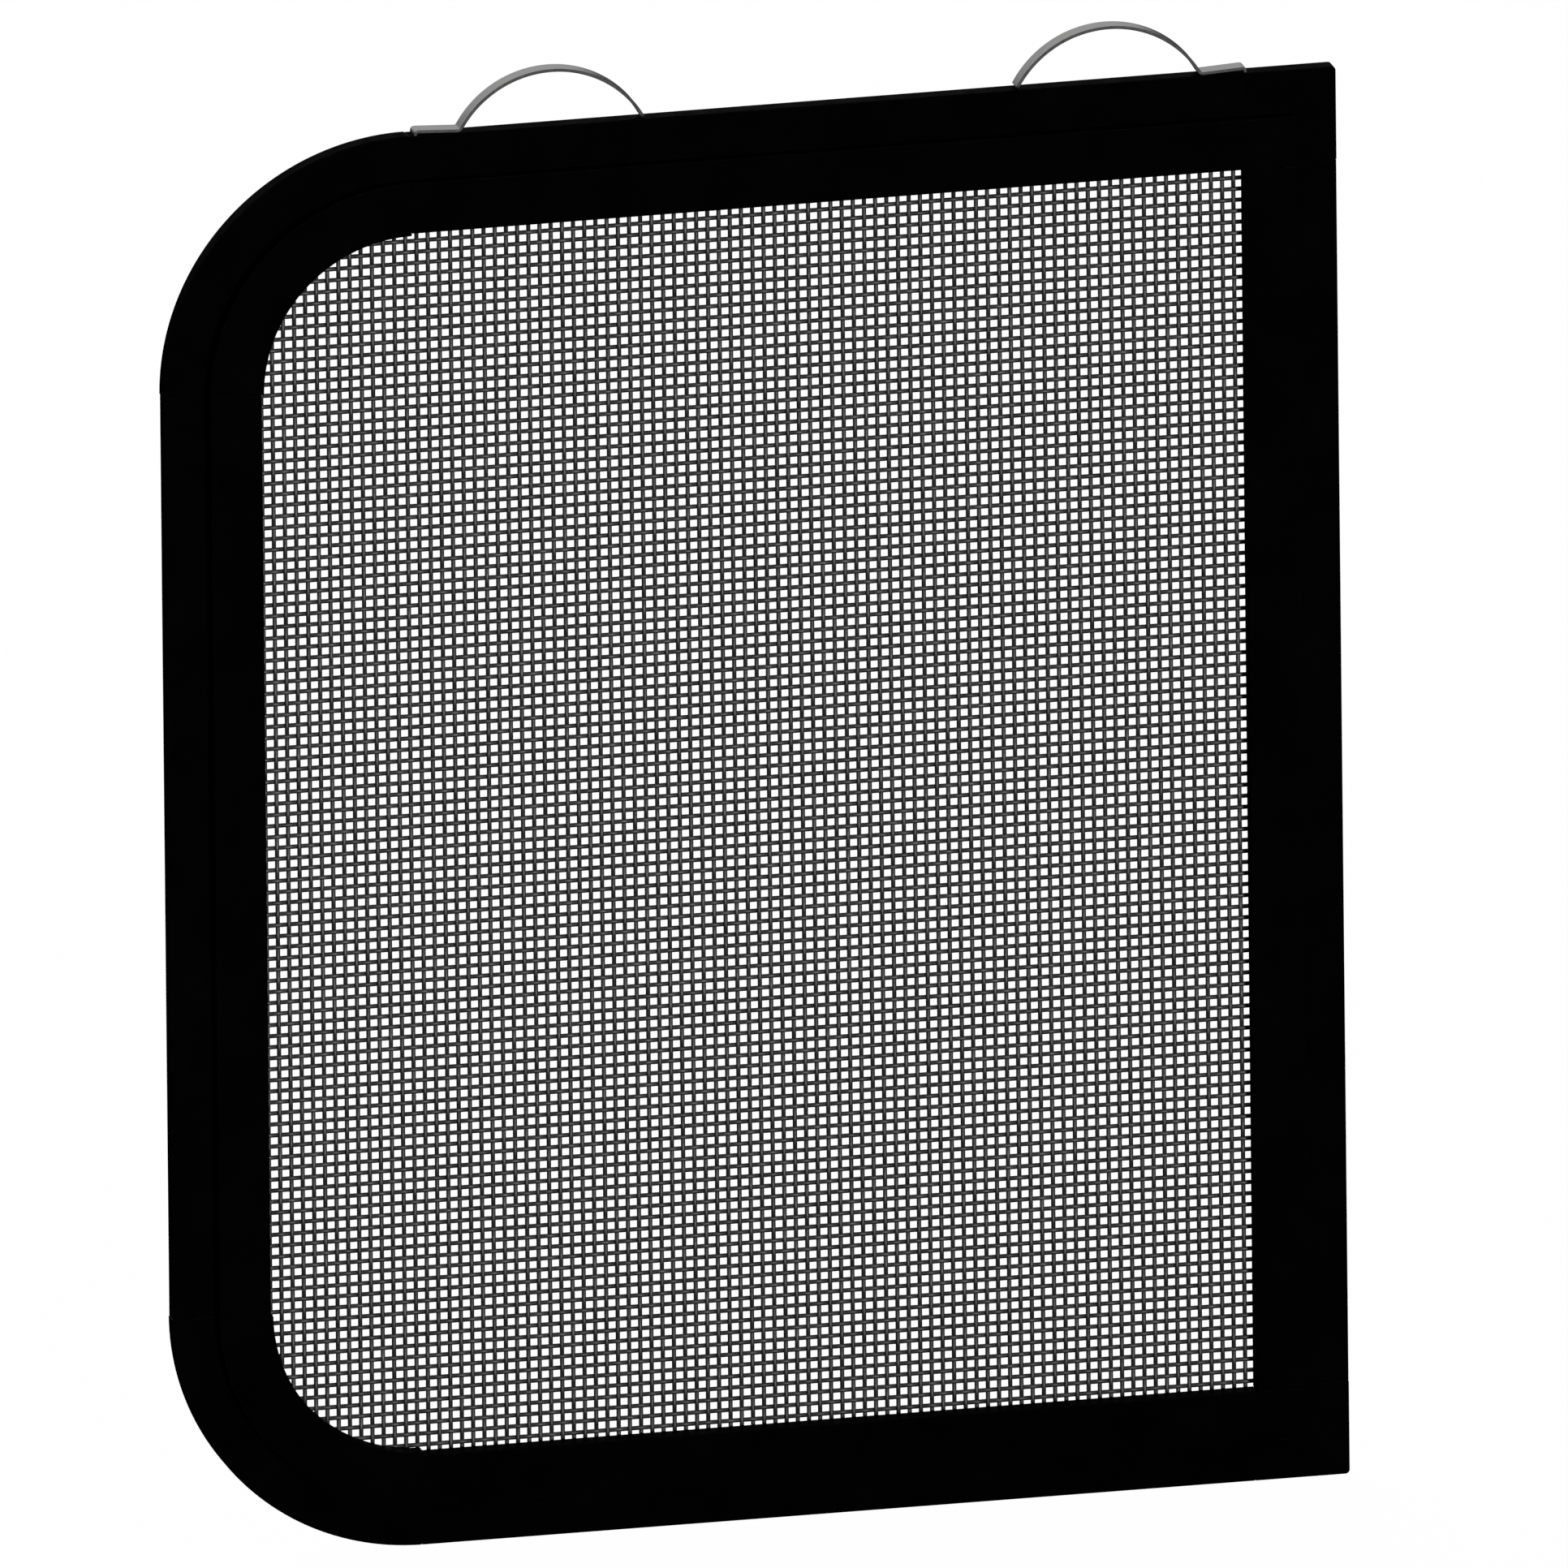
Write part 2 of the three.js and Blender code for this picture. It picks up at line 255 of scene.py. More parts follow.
def soften(piece, width, sharpest=35):
    """Rounds the outward edges of a piece, which take its material for rubbed edges with a painted
    highlight.
    """
    shape = bmesh.new()
    shape.from_mesh(piece.data)
    bmesh.ops.remove_doubles(shape, verts=shape.verts, dist=ALMOST_NOTHING)
    edges = [
        edge
        for edge in shape.edges
        if edge.is_convex and edge.calc_face_angle(0) > math.radians(sharpest)
    ]
    bmesh.ops.bevel(
        shape,
        geom=edges,
        offset=width,
        segments=3,
        profile=0.5,
        affect="EDGES",
        clamp_overlap=True,
        material=RUBBED_HIGHLIGHT_EDGES,
    )
    bmesh.ops.recalc_face_normals(shape, faces=shape.faces)
    shape.to_mesh(piece.data)
    shape.free()


def shade(piece, sharpest=40):
    """Smooth shading, flat on the flat faces."""
    piece.data.shade_smooth()
    piece.data.set_sharp_from_angle(angle=math.radians(sharpest))
    modifier = piece.modifiers.new("normals", "WEIGHTED_NORMAL")
    modifier.keep_sharp = True


def repaint(piece, material, is_painted):
    """Gives another of the piece's materials to the faces whose normal passes a test."""
    for polygon in piece.data.polygons:
        if is_painted(polygon.normal):
            polygon.material_index = material


def belong(piece, node):
    """Everything rides on the frame, the springs too."""
    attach(piece, "frame")
    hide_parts(node)


# ---- materials ----


def new_material(name):
    """A material's node tree, its shader, and places on the piece in metres."""
    made = bpy.data.materials.new(name)
    made.use_nodes = True
    shader = made.node_tree.nodes["Principled BSDF"]
    place = made.node_tree.nodes.new("ShaderNodeTexCoord").outputs["Object"]
    return made, shader, place


def noise(made, place, size, detail=3, stretch=(1, 1, 1)):
    """Noise whose grains are about `size` metres, and longer along an axis with a smaller stretch."""
    mapping = made.node_tree.nodes.new("ShaderNodeMapping")
    mapping.inputs["Scale"].default_value = stretch
    grain = made.node_tree.nodes.new("ShaderNodeTexNoise")
    grain.inputs["Scale"].default_value = 1 / size
    grain.inputs["Detail"].default_value = detail
    made.node_tree.links.new(place, mapping.inputs["Vector"])
    made.node_tree.links.new(mapping.outputs["Vector"], grain.inputs["Vector"])
    return grain.outputs["Fac"]


def spread(made, value, low, high, start=0.3, end=0.7):
    """A noise value drawn out to a range."""
    node = made.node_tree.nodes.new("ShaderNodeMapRange")
    node.inputs["From Min"].default_value = start
    node.inputs["From Max"].default_value = end
    node.inputs["To Min"].default_value = low
    node.inputs["To Max"].default_value = high
    made.node_tree.links.new(value, node.inputs["Value"])
    return node.outputs["Result"]


def tones(made, value, *stops):
    """Colours along a value: stops are (position, colour)."""
    node = made.node_tree.nodes.new("ShaderNodeValToRGB")
    ramp = node.color_ramp
    while len(ramp.elements) < len(stops):
        ramp.elements.new(0.5)
    for element, (position, color) in zip(ramp.elements, stops):
        element.position = position
        element.color = (*color, 1)
    made.node_tree.links.new(value, node.inputs["Fac"])
    return node.outputs["Color"]


def bump(made, value, depth, strength=1.0, under=None):
    """A bumpy normal whose relief is `depth` metres, over another one if given."""
    node = made.node_tree.nodes.new("ShaderNodeBump")
    node.inputs["Distance"].default_value = depth
    node.inputs["Strength"].default_value = strength
    made.node_tree.links.new(value, node.inputs["Height"])
    if under:
        made.node_tree.links.new(under, node.inputs["Normal"])
    return node.outputs["Normal"]


def finish(made, shader, color, roughness, normal, metallic=0.0, specular=0.5, edge_tint=1.0):
    """Links the shader. A lower edge tint makes a metal darker where it turns away."""
    shader.inputs["Metallic"].default_value = metallic
    shader.inputs["Specular IOR Level"].default_value = specular
    shader.inputs["Specular Tint"].default_value = (edge_tint, edge_tint, edge_tint, 1)
    made.node_tree.links.new(color, shader.inputs["Base Color"])
    made.node_tree.links.new(roughness, shader.inputs["Roughness"])
    made.node_tree.links.new(normal, shader.inputs["Normal"])
    return made


def powder_coat():
    """Black powder coat for the front, darker than the back's copy of it: painted shade. A fine orange peel,
    with a few duller patches.
    """
    made, shader, place = new_material("shaded_front_powder_coat")
    peel = bump(made, noise(made, place, 0.9 * MM, 2), 0.02 * MM, 0.6)
    grit = bump(made, noise(made, place, 0.16 * MM, 2), 0.006 * MM, 0.5, peel)
    patches = noise(made, place, 22 * MM, 5)
    color = tones(made, patches, (0.35, (0.0011, 0.0011, 0.0011)), (0.68, (0.0022, 0.0022, 0.0022)))
    roughness = spread(made, noise(made, place, 6 * MM, 6), 0.46, 0.62)
    return finish(made, shader, color, roughness, grit, specular=0.004)


def lit_back_coat():
    """The lit copy of the black coat, on the frame's back faces: painted light, greyer than the front, with
    cloudy patches and the same orange peel.
    """
    made, shader, place = new_material("lit_back_powder_coat")
    peel = bump(made, noise(made, place, 0.9 * MM, 2), 0.03 * MM, 0.7)
    grit = bump(made, noise(made, place, 0.16 * MM, 2), 0.008 * MM, 0.5, peel)
    patches = noise(made, place, 18 * MM, 6)
    color = tones(made, patches, (0.35, (0.014, 0.014, 0.014)), (0.68, (0.026, 0.026, 0.026)))
    roughness = spread(made, noise(made, place, 5 * MM, 6), 0.36, 0.52)
    return finish(made, shader, color, roughness, grit, specular=0.4)


def rubbed_highlight_coat():
    """The same coat on the edges, thinner and polished a little by handling, and lighter as a painted
    highlight along them.
    """
    made, shader, place = new_material("rubbed_highlight_powder_coat")
    peel = bump(made, noise(made, place, 0.5 * MM, 2), 0.01 * MM, 0.5)
    rubs = noise(made, place, 5 * MM, 6)
    color = tones(
        made,
        rubs,
        (0.42, (0.0016, 0.0016, 0.0016)),
        (0.6, (0.0035, 0.0035, 0.0035)),
        (0.75, (0.008, 0.008, 0.008)),
    )
    roughness = spread(made, rubs, 0.5, 0.32)
    return finish(made, shader, color, roughness, peel, specular=0.01)


def drawn_wire(name, stretch):
    """Dark oxidised steel wire, with fine drawing marks along it."""
    made, shader, place = new_material(name)
    marks = bump(made, noise(made, place, 0.09 * MM, 2, stretch), 0.004 * MM, 0.5)
    pits = bump(made, noise(made, place, 0.35 * MM, 3), 0.008 * MM, 0.4, marks)
    scale = noise(made, place, 7 * MM, 6)
    color = tones(
        made,
        scale,
        (0.34, (0.17, 0.17, 0.17)),
        (0.55, (0.215, 0.215, 0.215)),
        (0.72, (0.26, 0.26, 0.258)),
    )
    roughness = spread(made, noise(made, place, 1.6 * MM, 4), 0.52, 0.62)
    return finish(made, shader, color, roughness, pits, metallic=1.0, edge_tint=0.3)


def spring_steel():
    """Cold-rolled spring steel: streaks along the strip, a few duller clouds and small pits."""
    made, shader, place = new_material("spring_steel")
    streaks = noise(made, place, 0.35 * MM, 3, (0.02, 1, 0.02))
    clouds = noise(made, place, 5 * MM, 5)
    shades = made.node_tree.nodes.new("ShaderNodeMath")
    shades.operation = "MULTIPLY_ADD"
    shades.inputs[1].default_value = 0.6
    made.node_tree.links.new(streaks, shades.inputs[0])
    share = spread(made, clouds, 0.0, 0.4)
    made.node_tree.links.new(share, shades.inputs[2])
    color = tones(
        made,
        shades.outputs["Value"],
        (0.3, (0.31, 0.31, 0.31)),
        (0.5, (0.36, 0.36, 0.358)),
        (0.72, (0.42, 0.42, 0.416)),
    )
    roughness = spread(made, clouds, 0.34, 0.46)
    rolled = bump(made, streaks, 0.004 * MM, 0.5)
    pitted = bump(made, noise(made, place, 0.2 * MM, 2), 0.003 * MM, 0.35, rolled)
    return finish(made, shader, color, roughness, pitted, metallic=1.0)


def shaded_sheared_edge():
    """The springs' slit edges: darker than the rolled faces, partly as a sheared finish and partly as
    painted shade on these side faces, with shear marks across them.
    """
    made, shader, place = new_material("shaded_sheared_edge")
    marks = noise(made, place, 0.18 * MM, 3, (1, 1, 0.2))
    color = tones(made, marks, (0.32, (0.085, 0.085, 0.085)), (0.7, (0.13, 0.13, 0.128)))
    roughness = spread(made, noise(made, place, 2 * MM, 4), 0.45, 0.58)
    torn = bump(made, marks, 0.006 * MM, 0.5)
    return finish(made, shader, color, roughness, torn, metallic=1.0)


def fibre_cord():
    """Charcoal glass-fibre cord: fine fibres over the strands."""
    made, shader, place = new_material("fibre_cord")
    fibres = noise(made, place, 0.12 * MM, 3)
    fluff = noise(made, place, 0.8 * MM, 4)
    color = tones(made, fluff, (0.35, (0.012, 0.012, 0.013)), (0.7, (0.045, 0.044, 0.043)))
    roughness = spread(made, fluff, 0.85, 0.98)
    fuzz = bump(made, fibres, 0.03 * MM, 0.8)
    return finish(made, shader, color, roughness, fuzz, specular=0.15)


def blackened_steel():
    """Blackened steel rivets, rubbed brighter in places."""
    made, shader, place = new_material("blackened_steel")
    rubs = noise(made, place, 1.2 * MM, 5)
    color = tones(made, rubs, (0.4, (0.018, 0.018, 0.019)), (0.72, (0.075, 0.074, 0.072)))
    roughness = spread(made, rubs, 0.5, 0.34)
    dents = bump(made, noise(made, place, 0.3 * MM, 2), 0.01 * MM, 0.5)
    return finish(made, shader, color, roughness, dents, metallic=0.85)


# ---- frame ----

BACKWARDS = 0.9
ELBOW_STATIONS = 49


def frame_section(outside=0.0, reach=BAND):
    """The frame's section as (inward, depth), for a piece that stands out by an amount and is this wide."""
    return [
        (0, 0),
        (REBATE_START + outside, 0),
        (REBATE_START + outside, REBATE_DEPTH),
        (GROOVE_START + outside, REBATE_DEPTH),
        (GROOVE_START + outside, GROOVE_DEPTH),
        (GROOVE_END + outside, GROOVE_DEPTH),
        (GROOVE_END + outside, REBATE_DEPTH),
        (reach, REBATE_DEPTH),
        (reach, DEPTH),
        (LEDGE_WIDTH + outside, DEPTH),
        (LEDGE_WIDTH + outside, LEDGE_DEPTH),
        (0, LEDGE_DEPTH),
    ]


def cavity_section(clearance=0.0):
    """The hollow inside a rail, made smaller all round by a clearance."""
    edge = WALL + clearance
    return [
        (edge, edge),
        (REBATE_START - edge, edge),
        (REBATE_START - edge, REBATE_DEPTH + edge),
        (GROOVE_START - edge, REBATE_DEPTH + edge),
        (GROOVE_START - edge, DEPTH - edge),
        (LEDGE_WIDTH + edge, DEPTH - edge),
        (LEDGE_WIDTH + edge, LEDGE_DEPTH - edge),
        (edge, LEDGE_DEPTH - edge),
    ]


# Each corner's two joints: a point on the rail's outer face, the way inward and the way into the rail
JOINTS = {
    "top_left_elbow": [(at(ELBOW_X, RAIL_TOP), DOWN, RIGHT), (at(RAIL_LEFT, ELBOW_TOP), RIGHT, DOWN)],
    "bottom_left_elbow": [(at(ELBOW_X, 0), UP, RIGHT), (at(RAIL_LEFT, ELBOW_RADIUS), RIGHT, UP)],
    "top_right_corner": [
        (at(BLOCK_X, RAIL_TOP), DOWN, LEFT),
        (at(RAIL_RIGHT, BLOCK_TOP - BLOCK_SIZE), LEFT, DOWN),
    ],
    "bottom_right_corner": [(at(BLOCK_X, 0), UP, LEFT), (at(RAIL_RIGHT, BLOCK_SIZE), LEFT, UP)],
}


def rivet_place(joint):
    """The middle of a joint's rivet, on the back face."""
    face, inward, along = joint
    return face + inward * RIVET_INWARD + along * RIVET_ALONG


def hole(place, radius, depth, chamfer=0.0):
    """A round cutter from behind the back face to a depth, wider at the face by a chamfer."""
    profile = [
        (radius, depth),
        (radius, chamfer),
        (radius + chamfer, 0),
        (radius + chamfer, -PAST),
    ]
    return lathe("hole", profile, place.x, place.z)


def slot_cutter(x, top, depth):
    """The slot that a spring's tang drops into."""
    half_x = SPRING_THICKNESS / 2 + TANG_GAP
    half_y = TANG_WIDTH / 2 + TANG_GAP
    ring = [(-half_x, -half_y), (half_x, -half_y), (half_x, half_y), (-half_x, half_y)]
    y = left_spring["y"]
    rings = np.array([[(x + a, y + b, top + z) for a, b in ring] for z in (-depth, PAST)])
    return mesh_of("slot", [skin(rings)])


def swept_piece(node, section, stations, coats):
    """A swept piece of the frame, with its coats."""
    piece = link("frame_" + node, sweep(node, section, stations))
    for coat in coats:
        piece.data.materials.append(coat)
    return piece


def finish_piece(piece, node):
    """What every piece of the frame gets after its last cut."""
    # The faces that look backwards take the lit copy of the black coat, which is painted light
    repaint(piece, LIT_BACK_FACE, lambda normal: normal.y > BACKWARDS)
    shade(piece)
    belong(piece, node)


def rail(node, start, end, inward, coats, extra_cut=None):
    """A hollow rail between two corners' faces, with a rivet hole near each end."""
    along = (end - start).normalized()
    ends = [start + along * SEAM_GAP, end - along * SEAM_GAP]
    piece = swept_piece(node, frame_section(), [(point, inward) for point in ends], coats)
    soften(piece, PAINT_EDGE)
    past = [start - along * PAST, end + along * PAST]
    carve(piece, sweep("cavity", cavity_section(), [(point, inward) for point in past]))
    for point, way in ((start, along), (end, -along)):
        place = rivet_place((point, inward, way))
        carve(piece, hole(place, RIVET_HEAD_RADIUS + RIVET_GAP, WALL + PAST, HOLE_CHAMFER))
    if extra_cut:
        carve(piece, extra_cut)
    finish_piece(piece, node)


def corner(node, section, stations, coats, extra_cut=None, rounded=None):
    """A solid corner with a tongue for each of its two rails."""
    piece = swept_piece(node, section, stations, coats)
    if rounded:
        round_corner(piece, rounded)
    soften(piece, PAINT_EDGE)
    for joint in JOINTS[node]:
        face, inward, along = joint
        ends = [face - along * TONGUE_ROOT, face + along * TONGUE_LENGTH]
        tongue = sweep("tongue", cavity_section(TONGUE_CLEARANCE), [(point, inward) for point in ends])
        carve(piece, tongue, "UNION")
        carve(piece, hole(rivet_place(joint), RIVET_SHANK_RADIUS + RIVET_GAP, RIVET_LENGTH + RIVET_GAP))
    if extra_cut:
        carve(piece, extra_cut)
    finish_piece(piece, node)


def round_corner(piece, place):
    """Rounds a block's outer corner: the edge along Y at a place."""
    shape = bmesh.new()
    shape.from_mesh(piece.data)
    bmesh.ops.remove_doubles(shape, verts=shape.verts, dist=ALMOST_NOTHING)
    edges = [
        edge
        for edge in shape.edges
        if all(math.hypot(v.co.x - place.x, v.co.z - place.z) < ALMOST_NOTHING for v in edge.verts)
    ]
    bmesh.ops.bevel(
        shape, geom=edges, offset=BLOCK_RADIUS, segments=6, profile=0.5, affect="EDGES", clamp_overlap=True
    )
    shape.to_mesh(piece.data)
    shape.free()


def elbow(node, centre_z, from_degrees, to_degrees, coats):
    """A quarter of a ring, which stands out a little from its rails on both sides."""
    stations = []
    for degrees in np.linspace(from_degrees, to_degrees, ELBOW_STATIONS):
        angle = math.radians(degrees)
        outward = Vector((math.cos(angle), 0, math.sin(angle)))
        stations.append((at(ELBOW_X, centre_z) + outward * ELBOW_RADIUS, -outward))
    section = frame_section(ELBOW_OUTSIDE, BAND + ELBOW_INSIDE + ELBOW_OUTSIDE)
    corner(node, section, stations, coats)


def block(node, corner_z, inward_z, coats, extra_cut=None):
    """A square block: the section goes along one side, round a mitre and along the other side."""
    place = at(BLOCK_RIGHT, corner_z)
    stations = [
        (place + LEFT * BLOCK_SIZE, inward_z),
        (place, LEFT + inward_z),
        (place + inward_z * BLOCK_SIZE, LEFT),
    ]
    corner(node, frame_section(0, BLOCK_SIZE), stations, coats, extra_cut, rounded=place)


def make_frame():
    """Four rails and four corners. The left spring's slot is in the top rail, the right one's in a block."""
    coats = [powder_coat(), rubbed_highlight_coat(), lit_back_coat()]
    left_slot = slot_cutter(left_spring["hook"], RAIL_TOP, WALL + TONGUE_CLEARANCE / 2)
    right_slot = slot_cutter(right_spring["hook"], BLOCK_TOP, WALL + TANG_GAP)
    rail("top_rail", at(BLOCK_X, RAIL_TOP), at(ELBOW_X, RAIL_TOP), DOWN, coats, left_slot)
    rail("bottom_rail", at(ELBOW_X, 0), at(BLOCK_X, 0), UP, coats)
    rail("left_rail", at(RAIL_LEFT, ELBOW_TOP), at(RAIL_LEFT, ELBOW_RADIUS), RIGHT, coats)
    right_top = BLOCK_TOP - BLOCK_SIZE
    rail("right_rail", at(RAIL_RIGHT, BLOCK_SIZE), at(RAIL_RIGHT, right_top), LEFT, coats)
    elbow("top_left_elbow", ELBOW_TOP, 90, 180, coats)
    elbow("bottom_left_elbow", ELBOW_RADIUS, 180, 270, coats)
    block("top_right_corner", BLOCK_TOP, DOWN, coats, right_slot)
    block("bottom_right_corner", 0, UP, coats)


# ---- rivets ----

# The corner and the joint of it that each rivet holds, in the nodes' order
RIVET_ORDER = [
    ("top_left_elbow", 0),
    ("top_right_corner", 0),
    ("top_right_corner", 1),
    ("bottom_right_corner", 1),
    ("bottom_right_corner", 0),
    ("bottom_left_elbow", 0),
    ("bottom_left_elbow", 1),
    ("top_left_elbow", 1),
]


def rivet_profile():
    """From the shank's tip to the dimple that the setting tool leaves in the middle of the head."""
    rim = [
        (RIVET_HEAD_RADIUS, RIVET_HEAD_DEPTH),
        (RIVET_HEAD_RADIUS, 0.35 * MM),
        (RIVET_HEAD_RADIUS - 0.06 * MM, 0.2 * MM),
        (RIVET_HEAD_RADIUS - 0.25 * MM, 0.1 * MM),
    ]
    crown = [(RIVET_HEAD_RADIUS * share, 0.05 * MM * share) for share in (0.75, 0.55, 0.4)]
    dimple = [(0.75 * MM, 0.1 * MM), (0.6 * MM, 0.35 * MM), (0.3 * MM, 0.5 * MM), (0.02 * MM, 0.52 * MM)]
    tip = [
        (RIVET_SHANK_RADIUS - RIVET_SHANK_EDGE, RIVET_LENGTH),
        (RIVET_SHANK_RADIUS, RIVET_LENGTH - RIVET_SHANK_EDGE),
        (RIVET_SHANK_RADIUS, RIVET_HEAD_DEPTH),
    ]
    return tip + rim + crown + dimple


def make_rivets():
    steel = blackened_steel()
    for number, (node, side) in enumerate(RIVET_ORDER, 1):
        place = rivet_place(JOINTS[node][side])
        piece = link(f"rivet_{number}", lathe("rivet", rivet_profile(), place.x, place.z))
        piece.data.materials.append(steel)
        shade(piece)
        belong(piece, f"joint_rivet_{number}")


# ---- wire cloth ----

WIRE_HALF_WIDTH = 0.71 * MM
WIRE_HALF_DEPTH = 0.58 * MM
WEAVE_HALF_DEPTH = 0.54 * MM
# How far a wave leans sideways for its depth, so that it lies along the camera's view and looks straight
UPRIGHT_LEAN = 0.2365
LEVEL_LEAN = -0.3016
WIRE_PITCH = 3.6286 * MM
WIRE_FIRST_INWARD = 32.835 * MM
WIRE_FIRST_UP = 32.115 * MM
WIRE_SIDES = 6
WIRE_STEPS_PER_PITCH = 4
WIRE_BEND_POINTS = 5
WIRE_SHARPEST = 70
WIRE_END = 27.1 * MM
WIRE_OUTERMOST = 28.4 * MM
WIRE_BEND = 1 * MM
WIRE_TIP_DEPTH = 7.3 * MM
WEAVE_FADE = 1.2 * MM
CLOTH_PIECES = 3

mesh_low, mesh_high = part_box("wire_mesh")
CLOTH_Y = (mesh_low.y + mesh_high.y) / 2
FIRST_X = RAIL_RIGHT - WIRE_FIRST_INWARD
FIRST_Z = WIRE_FIRST_UP
# The radius that carries the rails' outer faces round the elbows
RAIL_ARC = ELBOW_RADIUS - ELBOW_OUTSIDE


def reach_across_elbow(inward, z):
    """How far left of the elbows' centres a line at an inward distance is, at a height."""
    radius = RAIL_ARC - inward
    beyond = max(RAIL_ARC - z, z - (RAIL_TOP - RAIL_ARC), 0)
    return math.sqrt(max(radius**2 - beyond**2, 0))


def rise_at(inward, x):
    """How far above a rail's outer face a line at an inward distance is, at an x."""
    radius = RAIL_ARC - inward
    beyond = max(ELBOW_X - x, 0)
    return inward + radius - math.sqrt(max(radius**2 - beyond**2, 0))


def woven_path(low, high, first, sign):
    """One wire as (along, y, wave): it weaves, and at each end it bends forward into the frame's groove."""
    step = WIRE_PITCH / WIRE_STEPS_PER_PITCH
    start, end = low + WIRE_BEND, high - WIRE_BEND
    steps = np.arange(math.ceil((start - first) / step), math.floor((end - first) / step) + 1)
    inner = first + steps * step
    inner = inner[(inner > start + step / 4) & (inner < end - step / 4)]
    near_end = np.clip(np.minimum(inner - start, end - inner) / WEAVE_FADE, 0, 1)
    fade = near_end**2 * (3 - 2 * near_end)
    wave = sign * WEAVE_HALF_DEPTH * fade * np.cos(math.pi * (inner - first) / WIRE_PITCH)
    turn = np.linspace(0, math.pi / 2, WIRE_BEND_POINTS)
    sunk = CLOTH_Y - WIRE_BEND * (1 - np.sin(turn))
    flat = np.zeros(len(turn))
    bend_in = np.stack([start - WIRE_BEND * np.cos(turn), sunk, flat], -1)
    weave = np.stack([inner, CLOTH_Y + wave, wave], -1)
    bend_out = np.stack([end + WIRE_BEND * np.cos(turn), sunk, flat], -1)[::-1]
    tip_y = BACK - WIRE_TIP_DEPTH
    return np.concatenate([[[low, tip_y, 0]], bend_in, weave, bend_out, [[high, tip_y, 0]]]).T


def wire(points, side):
    """One wire's rings, wide along `side`."""
    return tube(points, np.array(side), WIRE_HALF_WIDTH, WIRE_HALF_DEPTH, WIRE_SIDES)


def upright_wires():
    """The wires that stand up, from the right."""
    shells = []
    leftmost, rightmost = RAIL_LEFT + WIRE_OUTERMOST, RAIL_RIGHT - WIRE_OUTERMOST
    first = math.ceil((FIRST_X - rightmost) / WIRE_PITCH)
    last = math.floor((FIRST_X - leftmost) / WIRE_PITCH)
    for number in range(first, last + 1):
        x = FIRST_X - number * WIRE_PITCH
        low = rise_at(WIRE_END, x)
        along, y, wave = woven_path(low, RAIL_TOP - low, FIRST_Z, (-1) ** number)
        points = np.stack([x + UPRIGHT_LEAN * wave, y, along], -1)
        shells.append(skin(wire(points, (1.0, 0, 0))))
    return shells


def level_wires():
    """The wires that lie across, from the bottom."""
    shells = []
    first = math.ceil((WIRE_OUTERMOST - FIRST_Z) / WIRE_PITCH)
    last = math.floor((RAIL_TOP - WIRE_OUTERMOST - FIRST_Z) / WIRE_PITCH)
    for number in range(first, last + 1):
        z = FIRST_Z + number * WIRE_PITCH
        left = ELBOW_X - reach_across_elbow(WIRE_END, z)
        along, y, wave = woven_path(left, RAIL_RIGHT - WIRE_END, FIRST_X, -((-1) ** number))
        points = np.stack([along, y, z + LEVEL_LEAN * wave], -1)
        shells.append(skin(wire(points, (0, 0, 1.0))))
    return shells


def make_cloth(name, shells, steel):
    """The wires of one direction, in a few pieces."""
    size = math.ceil(len(shells) / CLOTH_PIECES)
    for number in range(CLOTH_PIECES):
        piece = link(f"{name}_{number + 1}", mesh_of(name, shells[number * size : (number + 1) * size]))
        piece.data.materials.append(steel)
        piece.data.shade_smooth()
        piece.data.set_sharp_from_angle(angle=math.radians(WIRE_SHARPEST))
        belong(piece, "wire_mesh")


# ---- cord that holds the cloth's edge ----

CORD_OUTER = 24 * MM
CORD_INNER = 26.5 * MM
CORD_BACK = 4.5 * MM
CORD_FRONT = 7.9 * MM
CORD_CORNER = 1.75 * MM
CORD_TWIST = 8 * MM
CORD_STEP = 0.7 * MM
CORD_ARC_POINTS = 91
STRANDS = 3
STRAND_RADIUS = 0.66 * MM
STRAND_SIDES = 8


def line_round(inward, corner_radius):
    """The D-shaped line at an inward distance: even points, outward directions, places along and length."""
    left = RAIL_ARC - inward
    right = RAIL_RIGHT - inward - corner_radius
    arcs = [
        (right, inward + corner_radius, corner_radius, -90),
        (right, RAIL_TOP - inward - corner_radius, corner_radius, 0),
        (ELBOW_X, RAIL_TOP - inward - left, left, 90),
        (ELBOW_X, inward + left, left, 180),
    ]
    points = []
    for x, z, radius, start in arcs:
        for degrees in np.linspace(start, start + 90, CORD_ARC_POINTS):
            angle = math.radians(degrees)
            points.append((x + radius * math.cos(angle), z + radius * math.sin(angle)))
    points = np.array(points + points[:1])
    length = np.concatenate([[0], np.cumsum(np.linalg.norm(np.diff(points, axis=0), axis=1))])
    count = round(length[-1] / CORD_STEP)
    where = np.arange(count) * length[-1] / count
    even = np.stack([np.interp(where, length, points[:, i]) for i in (0, 1)], -1)
    ahead = np.roll(even, -1, axis=0) - np.roll(even, 1, axis=0)
    ahead /= np.linalg.norm(ahead, axis=1)[:, None]
    outward = np.stack([ahead[:, 1], -ahead[:, 0]], -1)
    return even, outward, where, length[-1]


def closed_tube(points, side, radius, sides):
    """Rings round a path that closes on itself."""
    wrapped = np.concatenate([points[-1:], points, points[:1]])
    sideways = np.concatenate([side[-1:], side, side[:1]])
    return tube(wrapped, sideways, radius, radius, sides)[1:-1]


